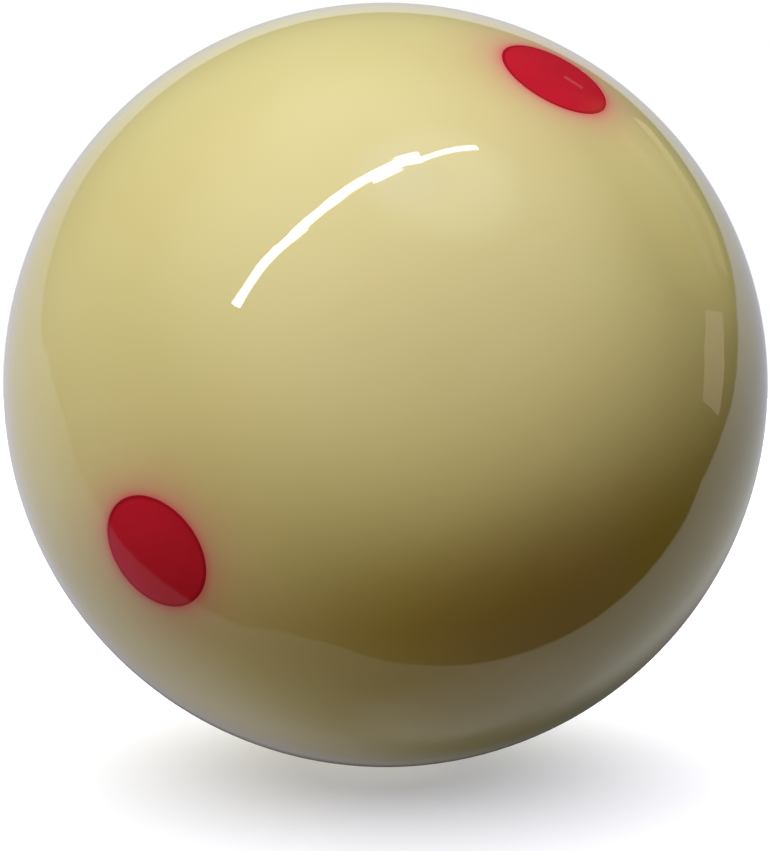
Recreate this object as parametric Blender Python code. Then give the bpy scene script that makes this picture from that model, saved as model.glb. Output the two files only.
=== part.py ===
"""A six-spot pool cue ball, modelled the way it is made.

A solid cream ball has six blind bores, drilled on three axes at right angles to each
other. A red plug fills each bore, and its outer face is domed flush with the ball.

Metres, +Z up. The origin is the ball's centre, so the ball rests on z = -BALL_RADIUS.
The spots are named for where they lie when the ball rests as it does here.
"""

import math

import bmesh
import bpy

# The ball.
BALL_DIAMETER = 0.05715
BALL_RADIUS = BALL_DIAMETER / 2
BALL_SEGMENTS = 72
BALL_RINGS = 36

# How the ball has rolled: the turn from the row's axes to the axes through the spots.
RESTING_TURN = (math.radians(27.1), math.radians(36.9), math.radians(-15.5))

# The spot plugs, which are turned from rod and finished with the ball.
PLUG_DIAMETER = 0.00765
PLUG_RADIUS = PLUG_DIAMETER / 2
PLUG_DEPTH = 0.005
PLUG_SEGMENTS = 40
DOME_RINGS = 4
DRILL_POINT_ANGLE = math.radians(118)

# The room between a plug and its bore, on the wall and under the point.
FIT_GAP = 0.0003
# How far a cutter stands out of the ball, so that it opens the bore's mouth.
CUTTER_PROUD = 0.001

# Each spot's turn from the spot axes' +Z to its own direction.
QUARTER_TURN = math.radians(90)
SPOT_TURNS = {
    "top": (0, 0, 0),
    "bottom": (2 * QUARTER_TURN, 0, 0),
    "front": (QUARTER_TURN, 0, 0),
    "back": (-QUARTER_TURN, 0, 0),
    "right": (0, QUARTER_TURN, 0),
    "left": (0, -QUARTER_TURN, 0),
}

# Colours and finishes of the cast phenolic resin.
CREAM = (0.72, 0.64, 0.36, 1)
RED = (0.57, 0.01, 0.03, 1)
POLISHED_ROUGHNESS = 0.06
RESIN_IOR = 1.6


def clear_scene():
    """Remove every object that the file starts with."""
    for thing in list(bpy.data.objects):
        bpy.data.objects.remove(thing, do_unlink=True)


def resin(name, colour):
    """Polished phenolic resin of one colour."""
    material = bpy.data.materials.new(name)
    material.use_nodes = True
    shader = material.node_tree.nodes["Principled BSDF"]
    shader.inputs["Base Color"].default_value = colour
    shader.inputs["Metallic"].default_value = 0
    shader.inputs["Roughness"].default_value = POLISHED_ROUGHNESS
    shader.inputs["IOR"].default_value = RESIN_IOR
    material.diffuse_color = colour
    return material


def add_object(name, mesh):
    """Put a mesh into the scene as a named object."""
    thing = bpy.data.objects.new(name, mesh)
    bpy.context.scene.collection.objects.link(thing)
    return thing


def add_spot_axes():
    """An empty whose local axes run through the six spots."""
    axes = bpy.data.objects.new("spot_axes", None)
    axes.rotation_euler = RESTING_TURN
    bpy.context.scene.collection.objects.link(axes)
    return axes


def shoulder_height(depth):
    """The height above the ball's centre at which a bore's wall ends."""
    return BALL_RADIUS - depth


def point_height(radius, depth):
    """The height of the drill point under a shoulder of this radius."""
    return shoulder_height(depth) - radius / math.tan(DRILL_POINT_ANGLE / 2)


def plug_profile():
    """Half the plug's section, as (radius, height) from the dome's crown to the point."""
    rim_angle = math.asin(PLUG_RADIUS / BALL_RADIUS)
    profile = []
    for ring in range(DOME_RINGS + 1):
        angle = rim_angle * ring / DOME_RINGS
        profile.append((BALL_RADIUS * math.sin(angle), BALL_RADIUS * math.cos(angle)))
    profile.append((PLUG_RADIUS, shoulder_height(PLUG_DEPTH)))
    profile.append((0, point_height(PLUG_RADIUS, PLUG_DEPTH)))
    return profile


def cutter_profile():
    """Half the drill cutter's section: a plug's, with the fitting gap all round."""
    radius = PLUG_RADIUS + FIT_GAP
    depth = PLUG_DEPTH + FIT_GAP
    top = BALL_RADIUS + CUTTER_PROUD
    return [
        (0, top),
        (radius, top),
        (radius, shoulder_height(depth)),
        (0, point_height(radius, depth)),
    ]


def turned_mesh(name, profile):
    """Turn a profile about Z into a closed mesh. Its first and last points lie on Z."""
    shape = bmesh.new()
    points = [shape.verts.new((radius, 0, height)) for radius, height in profile]
    edges = [shape.edges.new(pair) for pair in zip(points, points[1:])]
    bmesh.ops.spin(
        shape,
        geom=points + edges,
        cent=(0, 0, 0),
        axis=(0, 0, 1),
        angle=2 * math.pi,
        steps=PLUG_SEGMENTS,
        use_merge=True,
    )
    bmesh.ops.remove_doubles(shape, verts=shape.verts, dist=1e-7)
    bmesh.ops.recalc_face_normals(shape, faces=shape.faces)
    mesh = bpy.data.meshes.new(name)
    shape.to_mesh(mesh)
    shape.free()
    return mesh


def smooth(mesh):
    """Shade round faces smooth and keep the edges between wall, dome and point sharp."""
    mesh.shade_smooth()
    mesh.set_sharp_from_angle(angle=math.radians(30))


def add_spot_plug(place, axes):
    """One red plug, in its bore with its dome flush with the ball."""
    name = "spot_plug_" + place
    mesh = turned_mesh(name, plug_profile())
    smooth(mesh)
    mesh.materials.append(resin(name + "_red", RED))
    plug = add_object(name, mesh)
    plug.parent = axes
    plug.rotation_euler = SPOT_TURNS[place]
    return plug


def add_drill_cutter(place, axes):
    """The shape that a drill removes for one plug."""
    name = "drill_" + place
    cutter = add_object(name, turned_mesh(name, cutter_profile()))
    cutter.parent = axes
    cutter.rotation_euler = SPOT_TURNS[place]
    cutter.hide_render = True
    cutter.display_type = "WIRE"
    return cutter


def add_ball_body(axes):
    """The cream ball, with a blind bore for each spot plug."""
    shape = bmesh.new()
    bmesh.ops.create_uvsphere(
        shape,
        u_segments=BALL_SEGMENTS,
        v_segments=BALL_RINGS,
        radius=BALL_RADIUS,
    )
    mesh = bpy.data.meshes.new("ball_body")
    shape.to_mesh(mesh)
    shape.free()
    smooth(mesh)
    mesh.materials.append(resin("ball_body_cream", CREAM))
    body = add_object("ball_body", mesh)
    for place in SPOT_TURNS:
        bore = body.modifiers.new("bore_" + place, "BOOLEAN")
        bore.operation = "DIFFERENCE"
        bore.solver = "EXACT"
        bore.object = add_drill_cutter(place, axes)
    return body


def main():
    """Build the ball and its six plugs."""
    clear_scene()
    axes = add_spot_axes()
    add_ball_body(axes)
    for place in SPOT_TURNS:
        add_spot_plug(place, axes)


main()
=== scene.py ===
"""The looks of the six-spot cue ball: a polished cream ball with six red plugs."""

import math

import bmesh
import bpy
from mathutils import Matrix, Vector


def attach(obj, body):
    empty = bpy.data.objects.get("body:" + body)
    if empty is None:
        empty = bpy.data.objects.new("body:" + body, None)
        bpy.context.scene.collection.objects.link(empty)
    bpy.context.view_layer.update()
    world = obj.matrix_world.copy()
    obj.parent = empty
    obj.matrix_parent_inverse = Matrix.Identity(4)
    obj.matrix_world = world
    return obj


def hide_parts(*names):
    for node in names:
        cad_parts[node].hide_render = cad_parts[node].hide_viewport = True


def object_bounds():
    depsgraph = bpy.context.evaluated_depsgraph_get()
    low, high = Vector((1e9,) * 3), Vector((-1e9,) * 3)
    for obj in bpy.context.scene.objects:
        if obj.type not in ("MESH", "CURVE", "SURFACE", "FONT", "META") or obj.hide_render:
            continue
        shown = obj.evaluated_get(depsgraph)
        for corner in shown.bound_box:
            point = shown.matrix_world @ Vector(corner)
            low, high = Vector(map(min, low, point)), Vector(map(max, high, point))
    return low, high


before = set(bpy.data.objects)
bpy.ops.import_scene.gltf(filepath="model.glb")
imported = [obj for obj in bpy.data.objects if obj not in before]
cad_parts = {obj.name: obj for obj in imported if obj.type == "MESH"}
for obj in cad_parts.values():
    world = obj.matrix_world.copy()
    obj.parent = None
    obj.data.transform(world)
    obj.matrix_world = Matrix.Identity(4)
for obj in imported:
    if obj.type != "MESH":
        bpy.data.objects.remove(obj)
CAD_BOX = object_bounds()

MM = 0.001

# The frame: the ball's size, and where the CAD plugs put the spots.
BALL_RADIUS = (CAD_BOX[1].z - CAD_BOX[0].z) / 2
SPOTS = ("top", "bottom", "front", "back", "right", "left")


def plug_points(spot):
    """The points of a spot's CAD plug, in the row frame."""
    return [vertex.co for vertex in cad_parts["spot_plug_" + spot].data.vertices]


def spot_direction(spot):
    """The unit vector from the ball's centre through a spot."""
    return sum(plug_points(spot), Vector()).normalized()


def plug_radius():
    """The radius of a CAD plug, which is turned about its own direction."""
    direction = spot_direction("top")
    return max((point - point.project(direction)).length for point in plug_points("top"))


def spot_axes():
    """The rotation whose columns run through the right, back and top spots."""
    up = spot_direction("top")
    right = spot_direction("right")
    right = (right - right.project(up)).normalized()
    return Matrix((right, up.cross(right), up)).transposed()


PLUG_RADIUS = plug_radius()
SPOT_AXES = spot_axes()

# The ball's mesh: a sphere blown up from a cube, with one patch round each spot. A patch has
# this many segments along each edge of the cube and rows from there to the bore. The rows
# crowd towards the bore by this power.
EDGE_SEGMENTS = 48
PATCH_ROWS = 26
RIM_CROWDING = 1.35
DOME_ROWS = 14
# Points closer than this are one, and edges sharper than this stay sharp.
WELD_DISTANCE = 1e-7
CREASE_ANGLE = math.radians(40)

# The seam between plug and bore, the rounding that polishing leaves on both rims, and the
# first row of the sphere beside a rim, which keeps the shading there true.
SEAM = 0.008 * MM
RIM_ROUNDING = 0.02 * MM
ROUNDING_STEPS = 4
HOLDING_ROW = 0.04 * MM
# The plugs: how deep they go, and the point that the drill leaves.
PLUG_DEPTH = 5 * MM
DRILL_POINT_ANGLE = math.radians(118)


def cube_edge_points():
    """Directions along the +Z patch's edge that faces +X, evenly spaced, without its last corner."""
    middle = Vector((1, 0, 1)).normalized()
    along = Vector((0, 1, 0))
    half_edge = math.atan(math.sqrt(0.5))
    points = []
    for step in range(EDGE_SEGMENTS):
        angle = half_edge * (2 * step / EDGE_SEGMENTS - 1)
        points.append(middle * math.cos(angle) + along * math.sin(angle))
    return points


def on_sphere(polar, azimuth):
    """The point of the ball at this angle from +Z and this angle round it."""
    flat = BALL_RADIUS * math.sin(polar)
    return Vector((flat * math.cos(azimuth), flat * math.sin(azimuth), BALL_RADIUS * math.cos(polar)))


def rounded_rim(wall_radius, outward):
    """The polished rim of a bore (outward 1) or a plug (outward -1), as (radius, height) points.

    A small arc that touches the sphere and the wall, from the sphere to the wall.
    """
    centre_radius = wall_radius + outward * RIM_ROUNDING
    polar = math.asin(centre_radius / (BALL_RADIUS - RIM_ROUNDING))
    centre_height = (BALL_RADIUS - RIM_ROUNDING) * math.cos(polar)
    start = math.pi / 2 - polar
    end = math.pi if outward > 0 else 0
    points = []
    for step in range(ROUNDING_STEPS + 1):
        angle = start + (end - start) * step / ROUNDING_STEPS
        points.append((
            centre_radius + RIM_ROUNDING * math.cos(angle),
            centre_height + RIM_ROUNDING * math.sin(angle),
        ))
    return points


def pit_profile(wall_radius, depth, outward):
    """A rim, a straight wall and a drill point, as (radius, height) points from the sphere inwards."""
    shoulder = BALL_RADIUS - depth
    point = shoulder - wall_radius / math.tan(DRILL_POINT_ANGLE / 2)
    rim = rounded_rim(wall_radius, outward)
    near_shoulder = (wall_radius, shoulder + RIM_ROUNDING)
    return rim + [near_shoulder, (wall_radius, shoulder), (0, point)]


def turn(radius, height, azimuth):
    """A profile point turned round +Z."""
    return Vector((radius * math.cos(azimuth), radius * math.sin(azimuth), height))


def add_ring(shape, points):
    """One closed ring of vertices."""
    return [shape.verts.new(point) for point in points]


def bridge(shape, outer, inner):
    """Quads between two rings with the same number of vertices."""
    count = len(outer)
    for index in range(count):
        after = (index + 1) % count
        shape.faces.new((outer[index], outer[after], inner[after], inner[index]))


def close_with_point(shape, ring, point):
    """A fan from a ring to one point."""
    tip = shape.verts.new(point)
    for index in range(len(ring)):
        shape.faces.new((ring[index], ring[(index + 1) % len(ring)], tip))


def rim_azimuths():
    """The angles round +Z of the points on a bore's rim, from the patch's first corner."""
    count = 4 * EDGE_SEGMENTS
    return [2 * math.pi * index / count - math.pi / 4 for index in range(count)]


def add_patch(shape):
    """The sixth of the ball round +Z: sphere from the cube's edge to the rim, and the bore."""
    edge = cube_edge_points()
    profile = pit_profile(PLUG_RADIUS + SEAM, PLUG_DEPTH + SEAM, 1)
    rim_polar = math.atan2(*profile[0])
    holding = HOLDING_ROW / BALL_RADIUS
    shares = [(row / PATCH_ROWS) ** RIM_CROWDING for row in range(PATCH_ROWS, 0, -1)]
    azimuths = rim_azimuths()
    rings = []
    for share in shares + [0]:
        points = []
        for index, azimuth in enumerate(azimuths):
            side, place = divmod(index, EDGE_SEGMENTS)
            end = edge[place]
            end_azimuth = math.atan2(end.y, end.x) + side * math.pi / 2
            end_polar = math.acos(end.z)
            start_polar = rim_polar + holding
            polar = start_polar + (end_polar - start_polar) * share
            points.append(on_sphere(polar, azimuth + (end_azimuth - azimuth) * share))
        rings.append(add_ring(shape, points))
    for radius, height in profile[:-1]:
        rings.append(add_ring(shape, [turn(radius, height, azimuth) for azimuth in azimuths]))
    for outer, inner in zip(rings, rings[1:]):
        bridge(shape, outer, inner)
    close_with_point(shape, rings[-1], (0, 0, profile[-1][1]))


def spot_turn(spot):
    """The rotation that carries +Z to a spot, in the spot axes."""
    quarter = math.pi / 2
    turns = {
        "top": Matrix.Identity(3),
        "bottom": Matrix.Rotation(2 * quarter, 3, "X"),
        "front": Matrix.Rotation(quarter, 3, "X"),
        "back": Matrix.Rotation(-quarter, 3, "X"),
        "right": Matrix.Rotation(quarter, 3, "Y"),
        "left": Matrix.Rotation(-quarter, 3, "Y"),
    }
    return turns[spot]


def finish_mesh(name, shape):
    """Close a bmesh, face it outwards and make it a smooth object."""
    bmesh.ops.remove_doubles(shape, verts=shape.verts, dist=WELD_DISTANCE)
    bmesh.ops.recalc_face_normals(shape, faces=shape.faces)
    mesh = bpy.data.meshes.new(name)
    shape.to_mesh(mesh)
    shape.free()
    mesh.shade_smooth()
    mesh.set_sharp_from_angle(angle=CREASE_ANGLE)
    piece = bpy.data.objects.new(name, mesh)
    bpy.context.scene.collection.objects.link(piece)
    return piece


def make_body():
    """The cream ball: six patches, each round its own spot and bore."""
    whole = bmesh.new()
    for spot in SPOTS:
        patch = bmesh.new()
        add_patch(patch)
        turn_matrix = (SPOT_AXES @ spot_turn(spot)).to_4x4()
        bmesh.ops.transform(patch, matrix=turn_matrix, verts=patch.verts)
        part = bpy.data.meshes.new("patch")
        patch.to_mesh(part)
        patch.free()
        whole.from_mesh(part)
        bpy.data.meshes.remove(part)
    return finish_mesh("cream_ball", whole)


def make_plug(spot):
    """One red plug, domed flush with the ball."""
    shape = bmesh.new()
    profile = pit_profile(PLUG_RADIUS, PLUG_DEPTH, -1)
    rim_polar = math.atan2(*profile[0]) - HOLDING_ROW / BALL_RADIUS
    azimuths = rim_azimuths()
    rings = []
    for row in range(1, DOME_ROWS + 1):
        polar = rim_polar * row / DOME_ROWS
        rings.append(add_ring(shape, [on_sphere(polar, azimuth) for azimuth in azimuths]))
    for radius, height in profile[:-1]:
        rings.append(add_ring(shape, [turn(radius, height, azimuth) for azimuth in azimuths]))
    for outer, inner in zip(rings, rings[1:]):
        bridge(shape, outer, inner)
    close_with_point(shape, rings[0], (0, 0, BALL_RADIUS))
    close_with_point(shape, rings[-1], (0, 0, profile[-1][1]))
    turn_matrix = (SPOT_AXES @ spot_turn(spot)).to_4x4()
    bmesh.ops.transform(shape, matrix=turn_matrix, verts=shape.verts)
    return finish_mesh("red_spot_" + spot, shape)


# The resins' colours, in linear light: each one and the shade of its clouds, the stain in the
# cream, strong and faint, and the red's darker rim.
CREAM = (0.715, 0.645, 0.362, 1)
CREAM_CLOUD = (0.70, 0.62, 0.330, 1)
STAIN = (0.86, 0.05, 0.13, 1)
FAINT_STAIN = (0.74, 0.08, 0.25, 1)
RED = (0.62, 0.014, 0.040, 1)
RED_CLOUD = (0.58, 0.012, 0.034, 1)
RED_RIM = (0.42, 0.006, 0.020, 1)
RESIN_IOR = 1.55

# The clouds: their size, and the noise values where they start and are full.
CLOUD_DETAIL = 3.0
CREAM_CLOUD_SIZE = 16 * MM
CREAM_CLOUD_RANGE = (0.35, 0.70)
RED_CLOUD_SIZE = 3 * MM
RED_CLOUD_RANGE = (0.3, 0.7)

# The red dye's stain in the cream round each spot: a strong thin line and a faint wide glow,
# which reach unevenly far.
STAIN_LINE = 0.25 * MM
STAIN_LINE_SHARE = 0.62
STAIN_GLOW = 1.5 * MM
STAIN_GLOW_SHARE = 0.52
STAIN_WAVER_SIZE = 5 * MM
STAIN_WAVER = (0.6, 1.4)
# The red's darker rim: where it starts and where it is full, measured inwards from the seam.
RED_RIM_START = 0.30 * MM
RED_RIM_FULL = 0.09 * MM

# The polish: its roughness, in wide and fine patches, and the faint waves that it leaves.
POLISH_SMOOTH = 0.02
POLISH_DULL = 0.055
WIDE_PATCH_SIZE = 7 * MM
FINE_PATCH_SIZE = 0.8 * MM
WAVE_SIZE = 2.6 * MM
WAVE_DETAIL = 1.0
WAVE_HEIGHT = 0.009 * MM


class Tree:
    """A node tree, with short calls for the nodes that the looks are made of."""

    def __init__(self, tree):
        self.tree = tree

    def add(self, kind, **settings):
        """A new node."""
        node = self.tree.nodes.new(kind)
        for name, value in settings.items():
            setattr(node, name, value)
        return node

    def feed(self, socket, source):
        """Link a socket to another node's output, or set it to a value."""
        if isinstance(source, bpy.types.NodeSocket):
            self.tree.links.new(source, socket)
        else:
            socket.default_value = source

    def math(self, operation, *sources):
        """A Math node."""
        node = self.add("ShaderNodeMath", operation=operation)
        for socket, source in zip(node.inputs, sources):
            self.feed(socket, source)
        return node.outputs["Value"]

    def dot(self, source, direction):
        """How far a vector goes in a direction."""
        node = self.add("ShaderNodeVectorMath", operation="DOT_PRODUCT")
        self.feed(node.inputs[0], source)
        self.feed(node.inputs[1], direction)
        return node.outputs["Value"]

    def ramp(self, source, low, high):
        """A smooth step from 0 at low to 1 at high."""
        node = self.add("ShaderNodeMapRange", interpolation_type="SMOOTHSTEP")
        self.feed(node.inputs["Value"], source)
        self.feed(node.inputs["From Min"], low)
        self.feed(node.inputs["From Max"], high)
        return node.outputs["Result"]

    def between(self, source, low, high):
        """A value from low, where the source is 0, to high, where it is 1."""
        node = self.add("ShaderNodeMapRange")
        self.feed(node.inputs["Value"], source)
        self.feed(node.inputs["To Min"], low)
        self.feed(node.inputs["To Max"], high)
        return node.outputs["Result"]

    def mix(self, share, first, second):
        """A colour from first, where the share is 0, to second, where it is 1."""
        node = self.add("ShaderNodeMix", data_type="RGBA")
        sockets = [socket for socket in node.inputs if socket.enabled]
        for socket, source in zip(sockets, (share, first, second)):
            self.feed(socket, source)
        return next(socket for socket in node.outputs if socket.enabled)

    def noise(self, place, size, detail=2.0):
        """Noise from about 0 to 1, with lumps of about this size."""
        node = self.add("ShaderNodeTexNoise")
        self.feed(node.inputs["Vector"], place)
        self.feed(node.inputs["Scale"], 1 / size)
        self.feed(node.inputs["Detail"], detail)
        return node.outputs["Fac"]

    def fade(self, distance, length):
        """1 at no distance, falling by a factor e with each length."""
        return self.math("EXPONENT", self.math("MULTIPLY", distance, -1 / length))


def object_place(tree):
    """The place on the ball, in metres in the row frame."""
    return tree.add("ShaderNodeTexCoord").outputs["Object"]


def distance_from_rim(tree, place):
    """The way along the surface from the nearest spot's rim, in metres, negative on the spot."""
    mapping = tree.add("ShaderNodeMapping")
    tree.feed(mapping.inputs["Vector"], place)
    tree.feed(mapping.inputs["Rotation"], SPOT_AXES.transposed().to_euler())
    ways = tree.add("ShaderNodeVectorMath", operation="ABSOLUTE")
    tree.feed(ways.inputs[0], mapping.outputs["Vector"])
    split = tree.add("ShaderNodeSeparateXYZ")
    tree.feed(split.inputs["Vector"], ways.outputs["Vector"])
    greater = tree.math("MAXIMUM", split.outputs["X"], split.outputs["Y"])
    greatest = tree.math("MAXIMUM", greater, split.outputs["Z"])
    angle = tree.math("ARCCOSINE", tree.math("DIVIDE", greatest, BALL_RADIUS))
    rim_way = BALL_RADIUS * math.asin(PLUG_RADIUS / BALL_RADIUS)
    return tree.math("MULTIPLY_ADD", angle, BALL_RADIUS, -rim_way)


def new_resin(name):
    """An empty resin material: its tree and its shader."""
    material = bpy.data.materials.new(name)
    material.use_nodes = True
    shader = material.node_tree.nodes["Principled BSDF"]
    shader.inputs["IOR"].default_value = RESIN_IOR
    return material, Tree(material.node_tree), shader


def add_polish(tree, shader, place):
    """The polish: roughness in soft patches, and waves too faint to see but in a reflection."""
    wide = tree.noise(place, WIDE_PATCH_SIZE)
    fine = tree.noise(place, FINE_PATCH_SIZE)
    patches = tree.math("MULTIPLY", wide, fine)
    tree.feed(shader.inputs["Roughness"], tree.between(patches, POLISH_SMOOTH, POLISH_DULL))
    bump = tree.add("ShaderNodeBump")
    tree.feed(bump.inputs["Height"], tree.noise(place, WAVE_SIZE, WAVE_DETAIL))
    bump.inputs["Distance"].default_value = WAVE_HEIGHT
    bump.inputs["Strength"].default_value = 1.0
    tree.feed(shader.inputs["Normal"], bump.outputs["Normal"])


def make_cream():
    """Cream cast resin, clouded, and stained red round each spot."""
    material, tree, shader = new_resin("cream_resin")
    place = object_place(tree)
    clouds = tree.ramp(tree.noise(place, CREAM_CLOUD_SIZE, CLOUD_DETAIL), *CREAM_CLOUD_RANGE)
    colour = tree.mix(clouds, CREAM, CREAM_CLOUD)
    waver = tree.between(tree.noise(place, STAIN_WAVER_SIZE), *STAIN_WAVER)
    distance = tree.math("MULTIPLY", distance_from_rim(tree, place), waver)
    glow = tree.math("MULTIPLY", tree.fade(distance, STAIN_GLOW), STAIN_GLOW_SHARE)
    colour = tree.mix(glow, colour, FAINT_STAIN)
    line = tree.math("MULTIPLY", tree.fade(distance, STAIN_LINE), STAIN_LINE_SHARE)
    colour = tree.mix(line, colour, STAIN)
    tree.feed(shader.inputs["Base Color"], colour)
    add_polish(tree, shader, place)
    return material


def make_red():
    """Red cast resin, with a darker line at the rim of each spot."""
    material, tree, shader = new_resin("red_resin")
    place = object_place(tree)
    clouds = tree.ramp(tree.noise(place, RED_CLOUD_SIZE, CLOUD_DETAIL), *RED_CLOUD_RANGE)
    colour = tree.mix(clouds, RED, RED_CLOUD)
    rim = tree.ramp(distance_from_rim(tree, place), -RED_RIM_START, -RED_RIM_FULL)
    colour = tree.mix(rim, colour, RED_RIM)
    tree.feed(shader.inputs["Base Color"], colour)
    add_polish(tree, shader, place)
    return material


def make_ball():
    """The cream ball and its six plugs, each standing for its CAD node."""
    body = make_body()
    body.data.materials.append(make_cream())
    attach(body, "root")
    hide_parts("ball_body")
    pieces = [body]
    red = make_red()
    for spot in SPOTS:
        plug = make_plug(spot)
        plug.data.materials.append(red)
        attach(plug, "root")
        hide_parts("spot_plug_" + spot)
        pieces.append(plug)
    return pieces


# The camera, level with the ball's centre: its distance, its lens and sensor in millimetres,
# the picture's shift that takes in the shadow, and how near and far it sees in metres.
CAMERA_DISTANCE = 3.88 * BALL_RADIUS
LENS = 60.63
SENSOR_WIDTH = 36
SHIFT_UP = -0.0477
SEES_FROM = 0.01
SEES_TO = 50


def make_camera():
    """A level camera on the -Y side of the ball."""
    data = bpy.data.cameras.new("camera")
    data.lens = LENS
    data.sensor_width = SENSOR_WIDTH
    data.shift_y = SHIFT_UP
    data.clip_start = SEES_FROM
    data.clip_end = SEES_TO
    camera = bpy.data.objects.new("camera", data)
    camera.location = (0, -CAMERA_DISTANCE, 0)
    camera.rotation_euler = (math.pi / 2, 0, 0)
    bpy.context.scene.collection.objects.link(camera)
    bpy.context.scene.camera = camera


# The studio. A place in it is an elevation and an azimuth in degrees, as seen from the ball:
# azimuth 0 is the camera's side, and it grows to the camera's right.
# What shines on the ball: elevation, azimuth, width across in degrees, strength and colour.
BALL_LIGHTS = {
    "key": (59, -25, 14, 3.32, (0.95, 1.0, 0.92)),
    "warm_fill": (19, -13, 86, 0.7, (1.0, 0.66, 0.01)),
    "sheet_left": (-37, -121, 44, 2.05, (0.97, 1.0, 1.0)),
    "sheet_back": (0, 147, 82, 1.53, (0.98, 1.0, 0.75)),
}
# The floor: its grey and its own glow, its reach in metres, and the light on it that the ball
# shades: how bright, how many degrees wide and how many degrees behind the zenith.
FLOOR_GREY = 0.8
FLOOR_GLOW = (0.259, 0.27, 0.330, 1)
FLOOR_REACH = 3.0
FLOOR_SEGMENTS = 96
FLOOR_LIT = 1.35
FLOOR_LIGHT_WIDTH = 130
FLOOR_LIGHT_TILT = 10

# What the polish mirrors: a pale sheet behind and under the ball, in a dim room.
# The sheet's right edge and its round outline, each as the cap of directions inside it: the
# direction of the cap's middle, and the cosine of its half-angle.
SHEET_EDGES = (
    ((-0.35, 0.93, -0.13), 0.023),
    ((-0.045, 0.85, -0.53), 0.384),
)
SHEET_SOFTNESS = 0.014
# The sheet's shade low down and high up, and the heights between which it changes.
SHEET_LOW = (0.60, 0.62, 0.60, 1)
SHEET_HIGH = (0.54, 0.56, 0.72, 1)
SHEET_CHANGE = (-0.3, 0.2)
# Where the sheet's outline bulges: elevation, azimuth, reach in degrees and height.
SHEET_BULGES = (
    (38, -171, 34, 0.065),
    (21, 147, 25, -0.045),
    (-45, -91, 25, -0.035),
    (0, -106, 16, 0.062),
    (-13, -103, 18, 0.022),
    (-12, 112, 12, 0.012),
    (-69, -60, 14, 0.03),
)
# Painted shadows and painted light on the sheet, each over the ones before it: the ball's
# shadow under and behind it and other darker places in black, and greyer, bluer and paler
# places; elevation, azimuth, how many degrees it is full for and where it ends, its strength
# and its colour.
SHEET_PAINTED_SHADOWS_AND_LIGHT = (
    (0, 180, 14, 26, 0.7, (0.60, 0.60, 0.57, 1)),
    (-27, 178, 11, 31, 0.86, (0, 0, 0, 1)),
    (-58, -150, 22, 50, 0.72, (0, 0, 0, 1)),
    (12, -95, 18, 60, 0.55, (0, 0, 0, 1)),
    (-30, -103, 6, 25, 0.6, (0, 0, 0, 1)),
    (-20, -140, 20, 50, 0.30, (0.65, 0.65, 1.1, 1)),
    (-15, -178, 4, 16, 0.8, (0, 0, 0, 1)),
    (-66, 146, 6, 22, 0.24, (1.2, 1.2, 1.2, 1)),
)
ROOM_DIM = (0.02, 0.02, 0.02, 1)
ROOM_PATCHES = (
    (25, 10, 25, 82, 1.0, (1.22, 1.06, 0.65, 1)),
    (28, 118, 4, 24, 1.0, (0.48, 0.42, 0.12, 1)),
    (45, 0, 0, 70, 0.7, (1.15, 1.10, 1.40, 1)),
    (57, 28, 6, 22, 0.5, (2.90, 3.10, 3.20, 1)),
    (60, 7, 3, 14, 0.7, (1.35, 1.60, 2.60, 1)),
    (-52, 68, 5, 35, 1.0, (0.02, 0.02, 0.15, 1)),
)

# What stands in the room, for the polish alone: bars of light, each with its width in degrees
# and the places that it runs through, and a window with the places of its corners.
LAMPS = (
    (2.6, (20, -43.5), (31, -38), (36, -34.5)),
    (3.0, (35, -35.5), (42.5, -28)),
    (2.6, (41.5, -29.5), (47, -24.5), (53.5, -16.5), (59, -6)),
    (3.8, (58, -6.5), (62.5, 6.5)),
    (3.5, (63.5, 5.5), (64.5, 18.5)),
    (1.5, (63.5, 16), (65, 34), (64, 52)),
)
FRAMES = (
    (5.0, (41, 123), (33.5, 121.5), (28, 121), (23, 119.5), (17, 117)),
    (4.5, (32, 143), (28.5, 135.5), (25, 132), (20.5, 130), (15.5, 125.5)),
)
STREAKS = (
    (2.0, (46, 143), (44, 140)),
)
WINDOW = ((12.5, 106.5), (11, 116), (5, 113), (-5, 109.5), (-3, 100.5), (6, 102))
# How far away these stand, in metres, and how they glow.
ROOM_DISTANCE = 1.2
BAR_RESOLUTION = 6
LAMP_GLOW = (18.0, 18.0, 18.0, 1)
FRAME_GLOW = (0.56, 0.47, 0.22, 1)
STREAK_GLOW = (0.30, 0.25, 0.24, 1)
WINDOW_GLOW = (0.72, 0.57, 0.46, 1)


def towards(elevation, azimuth):
    """The unit vector to a place in the studio."""
    rise = math.radians(elevation)
    swing = math.radians(azimuth)
    level = math.cos(rise)
    return Vector((math.sin(swing) * level, -math.cos(swing) * level, math.sin(rise)))


def shine_only_on(light, name, pieces):
    """Let a light reach these pieces alone."""
    group = bpy.data.collections.new(name)
    for piece in pieces:
        group.objects.link(piece)
    light.light_linking.receiver_collection = group


def add_sun(name, elevation, azimuth, width, strength, colour):
    """A far soft light that the polish doesn't mirror."""
    data = bpy.data.lights.new(name, "SUN")
    data.angle = math.radians(width)
    data.energy = strength
    data.color = colour
    light = bpy.data.objects.new(name, data)
    light.rotation_euler = towards(elevation, azimuth).to_track_quat("Z", "Y").to_euler()
    light.visible_glossy = False
    bpy.context.scene.collection.objects.link(light)
    return light


def hide_from(item, *rays):
    """Take a stage item out of what these rays see."""
    for ray in rays:
        setattr(item, "visible_" + ray, False)


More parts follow.
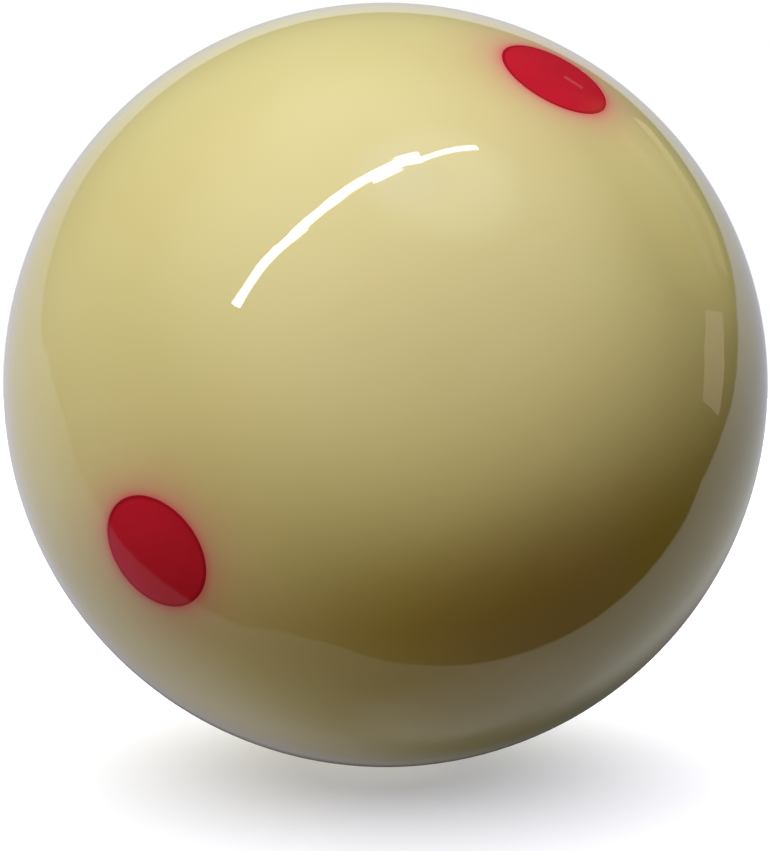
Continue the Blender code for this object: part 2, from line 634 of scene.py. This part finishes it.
def make_floor():
    """A round white floor under the ball, seen by the camera only."""
    mesh = bpy.data.meshes.new("floor")
    shape = bmesh.new()
    bmesh.ops.create_circle(shape, cap_ends=True, segments=FLOOR_SEGMENTS, radius=FLOOR_REACH)
    bmesh.ops.translate(shape, verts=shape.verts, vec=(0, 0, CAD_BOX[0].z))
    shape.to_mesh(mesh)
    shape.free()
    floor = bpy.data.objects.new("floor", mesh)
    bpy.context.scene.collection.objects.link(floor)
    material = bpy.data.materials.new("floor")
    material.use_nodes = True
    shader = material.node_tree.nodes["Principled BSDF"]
    shader.inputs["Base Color"].default_value = (FLOOR_GREY, FLOOR_GREY, FLOOR_GREY, 1)
    shader.inputs["Roughness"].default_value = 1.0
    shader.inputs["Specular IOR Level"].default_value = 0.0
    shader.inputs["Emission Color"].default_value = FLOOR_GLOW
    shader.inputs["Emission Strength"].default_value = 1.0
    mesh.materials.append(material)
    hide_from(floor, "diffuse", "glossy", "transmission", "shadow")
    return floor


def light_floor(floor):
    """A wide light, high behind the ball, that reaches the floor only."""
    strength = math.pi * FLOOR_LIT / FLOOR_GREY
    elevation = 90 - FLOOR_LIGHT_TILT
    light = add_sun("floor_light", elevation, 180, FLOOR_LIGHT_WIDTH, strength, (1, 1, 1))
    shine_only_on(light, "floor_light", [floor])


def light_ball(pieces):
    """The lights that reach the ball only."""
    for name, (elevation, azimuth, width, strength, colour) in BALL_LIGHTS.items():
        light = add_sun(name, elevation, azimuth, width, strength, colour)
        shine_only_on(light, name, pieces)


def make_glow(name, colour):
    """Plain light of one colour, which shows in the polish but isn't sampled as a lamp."""
    material = bpy.data.materials.new(name)
    material.use_nodes = True
    material.node_tree.nodes.clear()
    tree = Tree(material.node_tree)
    glow = tree.add("ShaderNodeEmission")
    glow.inputs["Color"].default_value = colour
    output = tree.add("ShaderNodeOutputMaterial")
    tree.feed(output.inputs["Surface"], glow.outputs["Emission"])
    material.cycles.emission_sampling = "NONE"
    return material


def place_in_room(name, data, material):
    """Put a glowing thing in the room, where only the polish sees it."""
    data.materials.append(material)
    thing = bpy.data.objects.new(name, data)
    bpy.context.scene.collection.objects.link(thing)
    hide_from(thing, "camera", "diffuse", "transmission", "shadow")


def make_bar(name, material, width, *places):
    """A round bar through these places of the studio."""
    data = bpy.data.curves.new(name, "CURVE")
    data.dimensions = "3D"
    data.bevel_depth = ROOM_DISTANCE * math.radians(width) / 2
    data.bevel_resolution = BAR_RESOLUTION
    data.use_fill_caps = True
    spline = data.splines.new("POLY")
    spline.points.add(len(places) - 1)
    for point, place in zip(spline.points, places):
        point.co = (*(ROOM_DISTANCE * towards(*place)), 1)
    place_in_room(name, data, material)


def make_pane(name, material, corners):
    """A flat pane with its corners at these places of the studio."""
    mesh = bpy.data.meshes.new(name)
    shape = bmesh.new()
    shape.faces.new([shape.verts.new(ROOM_DISTANCE * towards(*corner)) for corner in corners])
    shape.to_mesh(mesh)
    shape.free()
    place_in_room(name, mesh, material)


def furnish_room():
    """The lamps, the pale frames, the streak and the window."""
    kinds = (
        ("lamp", LAMP_GLOW, LAMPS),
        ("frame", FRAME_GLOW, FRAMES),
        ("streak", STREAK_GLOW, STREAKS),
    )
    for kind, glow, bars in kinds:
        material = make_glow(kind, glow)
        for number, (width, *places) in enumerate(bars, 1):
            make_bar("%s_%d" % (kind, number), material, width, *places)
    make_pane("window", make_glow("window", WINDOW_GLOW), WINDOW)


def patched(tree, direction, colour, patches):
    """A colour with soft round patches of other shades over it."""
    for elevation, azimuth, full, none, strength, shade in patches:
        nearness = tree.dot(direction, towards(elevation, azimuth))
        patch = tree.ramp(nearness, math.cos(math.radians(none)), math.cos(math.radians(full)))
        colour = tree.mix(tree.math("MULTIPLY", patch, strength), colour, shade)
    return colour


def inside_sheet(tree, direction):
    """How far inside the sheet's outline a direction is: 0 on it, negative outside."""
    insides = [tree.math("SUBTRACT", tree.dot(direction, axis), edge) for axis, edge in SHEET_EDGES]
    inside = tree.math("MINIMUM", *insides)
    for elevation, azimuth, reach, height in SHEET_BULGES:
        nearness = tree.dot(direction, towards(elevation, azimuth))
        bulge = tree.ramp(nearness, math.cos(math.radians(reach)), 1.0)
        inside = tree.math("MULTIPLY_ADD", bulge, height, inside)
    return inside


def make_world():
    """White to the camera, and to the polish a pale sheet in a dim room."""
    world = bpy.data.worlds.new("world")
    world.use_nodes = True
    tree = Tree(world.node_tree)
    direction = tree.add("ShaderNodeTexCoord").outputs["Generated"]
    on_sheet = tree.ramp(inside_sheet(tree, direction), -SHEET_SOFTNESS, SHEET_SOFTNESS)
    height = tree.ramp(tree.dot(direction, (0, 0, 1)), *SHEET_CHANGE)
    sheet = tree.mix(height, SHEET_LOW, SHEET_HIGH)
    # The sheet with its painted shadows and painted light.
    sheet = patched(tree, direction, sheet, SHEET_PAINTED_SHADOWS_AND_LIGHT)
    room = patched(tree, direction, ROOM_DIM, ROOM_PATCHES)
    mirrored = tree.mix(on_sheet, room, sheet)
    is_camera = tree.add("ShaderNodeLightPath").outputs["Is Camera Ray"]
    background = world.node_tree.nodes["Background"]
    tree.feed(background.inputs["Color"], tree.mix(is_camera, mirrored, (1, 1, 1, 1)))
    world.cycles_visibility.diffuse = False
    bpy.context.scene.world = world


def make_studio(pieces):
    """The floor, the lights and what the polish mirrors."""
    light_floor(make_floor())
    light_ball(pieces)
    furnish_room()
    make_world()
    bpy.context.scene.view_settings.view_transform = "Standard"


ball_pieces = make_ball()
make_camera()
make_studio(ball_pieces)
